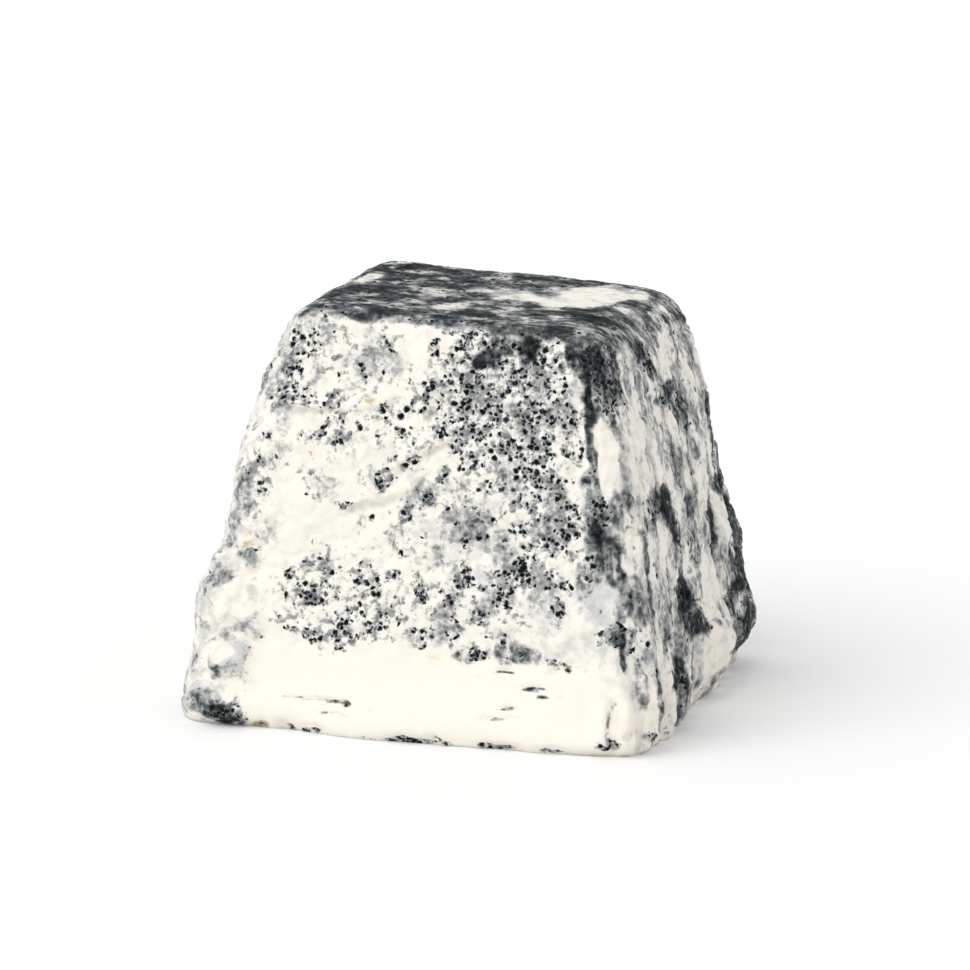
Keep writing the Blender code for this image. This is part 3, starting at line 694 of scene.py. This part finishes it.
# %% Node trees in few words
class Hand:
    """Adds nodes to one tree, of geometry or of a shader, and joins them as they are made."""

    def __init__(self, tree):
        self.tree = tree
        self.shading = tree.bl_idname == "ShaderNodeTree"

    def node(self, kind, **settings):
        """A new node with these settings."""
        made = self.tree.nodes.new(kind)
        for name, value in settings.items():
            setattr(made, name, value)
        return made

    def feed(self, socket, value):
        """Joins a socket to another one, or gives it a plain value."""
        if isinstance(value, bpy.types.NodeSocket):
            self.tree.links.new(value, socket)
        else:
            socket.default_value = value

    def kept(self, name, vector=False):
        """A value or place that was written on the skin."""
        if self.shading:
            made = self.node("ShaderNodeAttribute", attribute_name=name)
            return made.outputs["Vector" if vector else "Fac"]
        made = self.node("GeometryNodeInputNamedAttribute", data_type="FLOAT_VECTOR" if vector else "FLOAT")
        made.inputs["Name"].default_value = name
        return made.outputs["Attribute"]

    def sum(self, operation, *values, clamp=False):
        """One step of arithmetic on numbers."""
        made = self.node("ShaderNodeMath", operation=operation, use_clamp=clamp)
        for socket, value in zip(made.inputs, values):
            self.feed(socket, value)
        return made.outputs[0]

    def arrow(self, operation, *values):
        """One step of arithmetic on vectors."""
        made = self.node("ShaderNodeVectorMath", operation=operation)
        for socket, value in zip(made.inputs, values):
            self.feed(socket, value)
        return made.outputs["Value" if operation in ("LENGTH", "DOT_PRODUCT", "DISTANCE") else "Vector"]

    def scaled(self, vector, scale):
        """A vector times one number."""
        made = self.node("ShaderNodeVectorMath", operation="SCALE")
        self.feed(made.inputs[0], vector)
        self.feed(made.inputs["Scale"], scale)
        return made.outputs["Vector"]

    def step(self, value, low, high):
        """0 below low, 1 above high, and a smooth step between them."""
        made = self.node("ShaderNodeMapRange", interpolation_type="SMOOTHSTEP")
        for name, given in {"Value": value, "From Min": low, "From Max": high}.items():
            self.feed(made.inputs[name], given)
        return made.outputs["Result"]

    def between(self, share, first, last):
        """A number that goes from first to last."""
        return self.sum("MULTIPLY_ADD", share, self.sum("SUBTRACT", last, first), first)

    def blend(self, share, first, last):
        """A colour that goes from first to last."""
        made = self.node("ShaderNodeMix", data_type="RGBA", clamp_factor=True)
        by_name = {socket.identifier: socket for socket in made.inputs}
        self.feed(by_name["Factor_Float"], share)
        for name, colour in (("A_Color", first), ("B_Color", last)):
            self.feed(by_name[name], colour if isinstance(colour, bpy.types.NodeSocket) else (*colour, 1.0))
        return next(socket for socket in made.outputs if socket.identifier == "Result_Color")

    def ramp(self, value, stops):
        """A colour read off a row of (place from 0 to 1, colour)."""
        made = self.node("ShaderNodeValToRGB")
        self.feed(made.inputs["Fac"], value)
        row = made.color_ramp.elements
        while len(row) < len(stops):
            row.new(1.0)
        for mark, (at, colour) in zip(row, stops):
            mark.position, mark.color = at, (*colour, 1.0)
        return made.outputs["Color"]

    def noise(self, place, size, detail=2.0, roughness=0.5, distortion=0.0, colour=False):
        """Noise from 0 to 1 with lumps `size` millimetres apart."""
        made = self.node("ShaderNodeTexNoise", noise_dimensions="3D")
        self.feed(made.inputs["Vector"], place)
        for name, given in {"Scale": 1.0 / size, "Detail": detail, "Roughness": roughness,
                            "Distortion": distortion}.items():
            self.feed(made.inputs[name], given)
        return made.outputs["Color" if colour else "Fac"]

    def cells(self, place, size, feature="F1"):
        """The Voronoi node with cells `size` millimetres across."""
        made = self.node("ShaderNodeTexVoronoi", feature=feature)
        self.feed(made.inputs["Vector"], place)
        made.inputs["Scale"].default_value = 1.0 / size
        return made

    def drawn_out(self, place, x=1.0, y=1.0, z=1.0):
        """A place whose pattern is drawn out this many times along each axis."""
        return self.arrow("MULTIPLY", place, (1.0 / x, 1.0 / y, 1.0 / z))


print("a hand can do", [name for name in vars(Hand) if not name.startswith("_")])

# %% [markdown]
# ## Where the black is
# Seen close to, a speck is a pore of the curd that has kept its ash: half a millimetre to a
# millimetre wide, never quite round, black in the middle, with a grey breath of ash round it.
# Specks are Voronoi cells, each with its own size. A cell holds ash if a slower noise, read at
# the cell's own middle, passes the level that the painted density sets. So whole specks come and
# go, in the chains and crowds that the slower noise makes, and the grey breath follows that noise.
# Each pore also has its own luck, or the crowds would have edges as neat as the noise's.

# %% The specks
BEND_SIZE, BEND_REACH = 0.8, 0.95        # mm, of the noise that keeps shapes from being round
CROWD_SIZE, CROWD_SPREAD = 1.9, 3.0      # mm, of the noise that gathers the specks, and its swing
LEVEL_BARE, LEVEL_FULL = 1.30, -0.75     # what that noise has to pass, with no ash and with most
SPECK_NETS = (                           # mm between pores, and how far that net is shifted
    (0.70, 0.0),
    (0.82, 7.3),
    (0.96, 3.9),
)
SPECK_RADIUS = (0.24, 0.56)              # in cells
SPECK_EDGE = 0.34                        # in cells, from clean to black
SPECK_EMPTY, SPECK_FULL = -3.0, 0.35     # added to a pore without ash, and to one with it
HALO_TONE, HALO_FALL = 0.56, 1.05        # the grey round a speck, and how fast it fades, per cell
SPECK_LUCK, LUCK_EDGE = 1.3, 0.5         # how far chance alone fills a pore, and how sharply
BREATH_RISE = 0.34                       # how fast the grey breath thickens
BREATH_GRAIN_SIZE, BREATH_GRAIN = 1.0, 2.2           # mm between its clouds, and how uneven they are
BARE, BARE_LOSS = (0.05, 0.32), 1.2      # keeps the breath away from where no ash was painted
BREATH_BLACK, BREATH_SOFT = 0.46, 0.45   # how black it gets in a crowd, and how gently it gets there


def centred(hand, value, spread=1.0):
    """A noise from 0 to 1 made to swing round zero."""
    return hand.sum("MULTIPLY", hand.sum("SUBTRACT", value, 0.5), spread)


def bent(hand, place):
    """The place, pushed about by noise, so that nothing stays round."""
    push = hand.noise(place, BEND_SIZE, roughness=0.6, colour=True)
    push = hand.arrow("SUBTRACT", push, (0.5, 0.5, 0.5))
    return hand.arrow("ADD", place, hand.scaled(push, BEND_REACH))


def crowding(hand, place):
    """The slower noise that gathers the specks."""
    return centred(hand, hand.noise(place, CROWD_SIZE), CROWD_SPREAD)


def breath_of_ash(hand, place, density, level):
    """The grey that lies between the specks of a crowd."""
    breath = hand.sum("SUBTRACT", crowding(hand, place), level)
    grain = centred(hand, hand.noise(place, BREATH_GRAIN_SIZE), BREATH_GRAIN)
    breath = hand.sum("MULTIPLY_ADD", breath, BREATH_RISE, grain)
    bare = hand.sum("SUBTRACT", hand.step(density, *BARE), 1.0)
    breath = hand.sum("MULTIPLY_ADD", bare, BARE_LOSS, breath)
    return hand.sum("SMOOTH_MIN", breath, BREATH_BLACK, BREATH_SOFT)


def one_net_of_specks(hand, place, level, size, shift):
    """The specks of one net of pores, each with its halo."""
    away = (shift, shift, shift)
    cells = hand.cells(hand.arrow("ADD", place, away), size)
    distance = cells.outputs["Distance"]
    middle = hand.arrow("SUBTRACT", cells.outputs["Position"], away)
    chance = hand.node("ShaderNodeSeparateXYZ")
    hand.feed(chance.inputs[0], cells.outputs["Color"])
    luck = centred(hand, chance.outputs[1], SPECK_LUCK)
    ash = hand.sum("SUBTRACT", hand.sum("ADD", crowding(hand, middle), luck), level)
    filled = hand.step(ash, 0.0, LUCK_EDGE)
    radius = hand.sum("MULTIPLY", hand.between(chance.outputs[0], *SPECK_RADIUS), filled)
    speck = hand.sum("MULTIPLY", hand.sum("SUBTRACT", radius, distance), 1.0 / SPECK_EDGE)
    speck = hand.sum("ADD", speck, hand.between(filled, SPECK_EMPTY, SPECK_FULL))
    halo = hand.sum("MULTIPLY", filled, HALO_TONE)
    halo = hand.sum("SUBTRACT", halo, hand.sum("MULTIPLY", distance, HALO_FALL))
    return hand.sum("MAXIMUM", speck, halo)


def ash_in_pores(hand, place, density):
    """How thick the ash of the specks is: nothing under 0, black at 1."""
    place = bent(hand, place)
    level = hand.between(density, LEVEL_BARE, LEVEL_FULL)
    thickness = breath_of_ash(hand, place, density, level)
    for size, shift in SPECK_NETS:
        specks_here = one_net_of_specks(hand, place, level, size, shift)
        thickness = hand.sum("MAXIMUM", thickness, specks_here)
    return thickness


print(f"the pores lie {[size for size, _ in SPECK_NETS]} mm apart")

# %% [markdown]
# ## Where the film is
# Ash rubbed over the skin is a film, thin and pale at its edge and thick and black in its heart.
# The hand that rubbed it left streaks: along x on the front and the top, and down the slope on
# the sides, where the cheese slid out of its mould. A broad noise, a little drawn out, sets where
# the film lies, and a fine one, drawn out far more, only shades it, as a brush does. A little
# grit in it is not drawn out at all.

# %% The film
BROAD_STREAK, FINE_STREAK = (4.4, 3.8), (2.6, 1.2)      # mm across one: along x, down the slope
BROAD_DRAW, FINE_DRAW = (1.0, 1.7), (1.5, 4.0)          # how much longer than wide
BROAD_SPREAD, FINE_SPREAD = 7.0, 0.9                    # how far each noise swings
WAVER = 0.2, 0.1           # how much a streak wavers, along x and down the slope
LEVEL_THIN, LEVEL_THICK = 1.5, -1.10     # what the broad noise has to pass, with least and most film
FILM_SHORT = 0.12          # how far the thickest film stays below the painted amount
FILM_SOFT = 0.3            # how gently it gets there
FILM_EDGE, FILM_START = 2.2, 0.25        # how much of the noise lies between clean and black
GRIT_SIZE, GRIT = 0.9, 1.5 # mm between grains in the film, and how strong they are
GRIT_ON_TOP, GRIT_DRAWN = 0.42, 0.70     # how much of that is left where ash was rubbed or drawn
SHADED = (-0.1, 0.4)       # how thick a film has to be before its streaks shade it


def streaks(hand, size, draw, detail=2.0, roughness=0.5):
    """Noise drawn out along x, or down the slope where the skin was drawn down."""
    level = hand.drawn_out(hand.kept("rest", vector=True), x=draw[0])
    along = hand.noise(level, size[0], detail, roughness, WAVER[0])
    upright = hand.drawn_out(hand.kept("fan", vector=True), z=draw[1])
    down = hand.noise(upright, size[1], detail, roughness, WAVER[1])
    return hand.between(hand.kept("drawn_down"), along, down)


def ash_film(hand, amount):
    """How thick the film is, with the shade painted into it: nothing under 0, black at 1."""
    broad = streaks(hand, BROAD_STREAK, BROAD_DRAW, detail=4.0, roughness=0.62)
    broad = centred(hand, broad, BROAD_SPREAD)
    fine = centred(hand, streaks(hand, FINE_STREAK, FINE_DRAW), FINE_SPREAD)
    level = hand.between(amount, LEVEL_THIN, LEVEL_THICK)
    thickness = hand.sum("MULTIPLY_ADD", hand.sum("SUBTRACT", broad, level), 1.0 / FILM_EDGE, FILM_START)
    most = hand.sum("SUBTRACT", amount, FILM_SHORT)
    thickness = hand.sum("SMOOTH_MIN", thickness, most, FILM_SOFT)
    grit = centred(hand, hand.noise(hand.kept("rest", vector=True), GRIT_SIZE, roughness=0.55), GRIT)
    for place_name, left in (("on_top", GRIT_ON_TOP), ("drawn_down", GRIT_DRAWN)):
        grit = hand.sum("MULTIPLY", grit, hand.between(hand.kept(place_name), 1.0, left))
    fine = hand.sum("ADD", fine, grit)
    return hand.sum("ADD", thickness, hand.sum("MULTIPLY", fine, hand.step(thickness, *SHADED)))


print(f"a streak is {FINE_STREAK[0]} mm wide along x and {FINE_STREAK[1]} mm wide down the slope")

# %% [markdown]
# ## The relief of the skin
# Up close the curd shows as soft grains a few millimetres wide with fine seams between them, the
# pores lie a little below the rest, and the drawn sides are combed. A geometry tree adds this
# along the normal. It reads the paint on the skin, so the pits fall exactly under the specks.

# %% The relief tree
RELIEF = {                 # named inputs of the tree, mm
    "Curd depth": 0.65,
    "Grain depth": 0.16,
    "Seam depth": 0.34,
    "Pit depth": 0.25,
    "Comb depth": 0.08,
    "Share on top": 0.35,
}
CURD_SIZE, GRAIN_SIZE, SEAM_SIZE = 3.4, 1.3, 4.4
COMB_SIZE, COMB_DRAW = (1.2, 1.2), (5.0, 5.0)
SEAM_HALF = 0.12           # in cells
PITTED = (0.4, 1.1)        # how thick ash has to be over a shallow pit, and over a full one
BAND_CALM = 0.85           # how much of the relief the smooth band loses
FOOT_FADE = (0.2, 1.6)     # mm above the table over which the relief comes in


def relief_tree():
    """The geometry tree that lifts and lowers the skin."""
    tree = bpy.data.node_groups.new("curd_relief", "GeometryNodeTree")
    tree.interface.new_socket("Geometry", in_out="INPUT", socket_type="NodeSocketGeometry")
    for name, value in RELIEF.items():
        tree.interface.new_socket(name, in_out="INPUT", socket_type="NodeSocketFloat").default_value = value
    tree.interface.new_socket("Material", in_out="INPUT", socket_type="NodeSocketMaterial")
    tree.interface.new_socket("Geometry", in_out="OUTPUT", socket_type="NodeSocketGeometry")
    hand = Hand(tree)
    given, result = hand.node("NodeGroupInput"), hand.node("NodeGroupOutput")
    rest = hand.kept("rest", vector=True)
    calm = hand.sum("SUBTRACT", 1.0, hand.sum("MULTIPLY", hand.kept("plain_band"), BAND_CALM))
    curd = centred(hand, hand.noise(rest, CURD_SIZE), 2.0)
    grain = centred(hand, hand.noise(rest, GRAIN_SIZE), 2.0)
    seams = hand.cells(bent(hand, rest), SEAM_SIZE, feature="DISTANCE_TO_EDGE")
    seam = hand.sum("SUBTRACT", hand.step(seams.outputs["Distance"], 0.0, SEAM_HALF), 1.0)
    pit = hand.step(ash_in_pores(hand, rest, hand.kept("specks")), *PITTED)
    pit = hand.sum("MULTIPLY", pit, -1.0)
    comb = centred(hand, streaks(hand, COMB_SIZE, COMB_DRAW), 2.0)
    height = hand.sum("MULTIPLY", hand.sum("MULTIPLY", curd, given.outputs["Curd depth"]), calm)
    for share, name in (
        (hand.sum("MULTIPLY", grain, calm), "Grain depth"),
        (hand.sum("MULTIPLY", seam, calm), "Seam depth"),
        (pit, "Pit depth"),
        (hand.sum("MULTIPLY", comb, calm), "Comb depth"),
    ):
        height = hand.sum("ADD", height, hand.sum("MULTIPLY", share, given.outputs[name]))
    split = hand.node("ShaderNodeSeparateXYZ")
    hand.feed(split.inputs[0], rest)
    height = hand.sum("MULTIPLY", height, hand.step(split.outputs["Z"], *FOOT_FADE))
    on_top = hand.between(hand.kept("on_top"), 1.0, given.outputs["Share on top"])
    height = hand.sum("MULTIPLY", height, on_top)
    shift = hand.scaled(hand.node("GeometryNodeInputNormal").outputs[0], hand.sum("MULTIPLY", height, MM))
    move = hand.node("GeometryNodeSetPosition")
    hand.feed(move.inputs["Geometry"], given.outputs["Geometry"])
    hand.feed(move.inputs["Offset"], shift)
    real = hand.node("GeometryNodeRealizeInstances")
    hand.feed(real.inputs["Geometry"], move.outputs["Geometry"])
    dress = hand.node("GeometryNodeSetMaterial")
    hand.feed(dress.inputs["Geometry"], real.outputs["Geometry"])
    hand.feed(dress.inputs["Material"], given.outputs["Material"])
    hand.feed(result.inputs["Geometry"], dress.outputs["Geometry"])
    return tree


def add_tree(obj, tree, **given):
    """Puts the tree on the object, with its inputs set by their identifiers."""
    modifier = obj.modifiers.new(tree.name, "NODES")
    modifier.node_group = tree
    for socket in tree.interface.items_tree:
        if socket.in_out == "INPUT" and socket.name in given:
            modifier[socket.identifier] = given[socket.name]
    return modifier


print(f"the relief's inputs are {RELIEF}")

# %% [markdown]
# ## The rind's material
# One shader, read from the bottom up as the cheese was made: cream curd, a little warmer in
# patches; a veil of pale mould, which also holds painted shade along the creases and a ring of
# painted shadow round a blister; the grey film with its lighter streaks, which holds that ring
# too; and the black in the pores, with a grey breath of ash round each crowd of specks. The rind
# is moist but not shiny.

# %% The rind's colours
CREAM = (0.855, 0.823, 0.742)
WARM_CREAM = (0.84, 0.78, 0.60)
TAN = (0.60, 0.46, 0.29)
# the grey of the mould, also used for the painted shade in the creases and round the blister
MOULD_AND_SHADE_GREY = (0.585, 0.592, 0.58)
ASH_TONES = [              # from where the ash is thinnest to where it is thickest
    (0.00, (0.62, 0.615, 0.585)),
    (0.25, (0.37, 0.375, 0.362)),
    (0.50, (0.114, 0.126, 0.128)),
    (0.72, (0.028, 0.034, 0.037)),
    (1.00, (0.005, 0.007, 0.007)),
]
ASHED = (-0.15, 0.25)      # how thick ash is where it starts to tint, and where it hides the rind
WARM_MOST = 0.9            # how far a warm patch goes towards its colour
TANNED = (0.55, 0.95)      # how warm a patch is where it starts to tan, and where it is tan
CLOUD_SIZE, CLOUD_SWING = 2.6, 2.5       # mm between clouds of mould and of painted shade, and how uneven they are
MOULD_AND_SHADE_RANGE = (0.25, 1.0)       # how thick mould and painted shade are where they start to show, and where they cover
BARE_ROUGHNESS, ASH_ROUGHNESS = 0.50, 0.85


def rind_material():
    """The cheese's skin."""
    material = bpy.data.materials.new("ashed_rind")
    material.use_nodes = True
    tree = material.node_tree
    hand = Hand(tree)
    shader = tree.nodes["Principled BSDF"]
    rest = hand.kept("rest", vector=True)
    density, warm, veil = hand.kept("specks"), hand.kept("warm"), hand.kept("veil")
    thickness = hand.sum("MAXIMUM", ash_in_pores(hand, rest, density), ash_film(hand, hand.kept("film")))
    cloud = hand.noise(rest, CLOUD_SIZE, detail=4.0, roughness=0.6)
    colour = hand.blend(hand.sum("MULTIPLY", warm, WARM_MOST), CREAM, WARM_CREAM)
    colour = hand.blend(hand.step(warm, *TANNED), colour, TAN)
    # grey mould, with the painted shade of the creases and of the blister's ring
    mould_and_shade_cover = hand.step(hand.sum("ADD", centred(hand, cloud, CLOUD_SWING), veil), *MOULD_AND_SHADE_RANGE)
    colour = hand.blend(mould_and_shade_cover, colour, MOULD_AND_SHADE_GREY)
    colour = hand.blend(hand.step(thickness, *ASHED), colour, hand.ramp(thickness, ASH_TONES))
    hand.feed(shader.inputs["Base Color"], colour)
    roughness = hand.between(hand.step(thickness, 0.0, 1.0), BARE_ROUGHNESS, ASH_ROUGHNESS)
    hand.feed(shader.inputs["Roughness"], roughness)
    shader.inputs["Specular IOR Level"].default_value = 0.06
    shader.inputs["Subsurface Weight"].default_value = 0.10
    shader.inputs["Subsurface Radius"].default_value = (1.0, 0.8, 0.6)
    shader.inputs["Subsurface Scale"].default_value = 0.9 * MM
    bump = hand.node("ShaderNodeBump")
    bump.inputs["Strength"].default_value = 0.5
    bump.inputs["Distance"].default_value = 0.12 * MM
    hand.feed(bump.inputs["Height"], hand.noise(rest, 0.6, detail=3.0, roughness=0.6))
    hand.feed(shader.inputs["Normal"], bump.outputs["Normal"])
    return material


rind = rind_material()
print(f"the rind's tree has {len(rind.node_tree.nodes)} nodes")

# %% The relief made real
add_tree(skin, relief_tree(), Material=rind, **RELIEF)
made_real(skin)
skin.data.materials.clear()
skin.data.materials.append(rind)
skin.data.shade_smooth()
moved = np.linalg.norm(points_of(skin.data) - points, axis=1)
print(f"the relief moves the skin by up to {moved.max():.2f} mm")

# %% [markdown]
# ## Handing over
# The skin takes the place of the packed solid, rides with it, and its size is written down.

# %% Joined to the frame
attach(skin, "root")
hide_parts("cheese")

# %% The size, and the end
low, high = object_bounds()
print(f"the dressed cheese is {[round(v / MM, 1) for v in high - low]} mm")
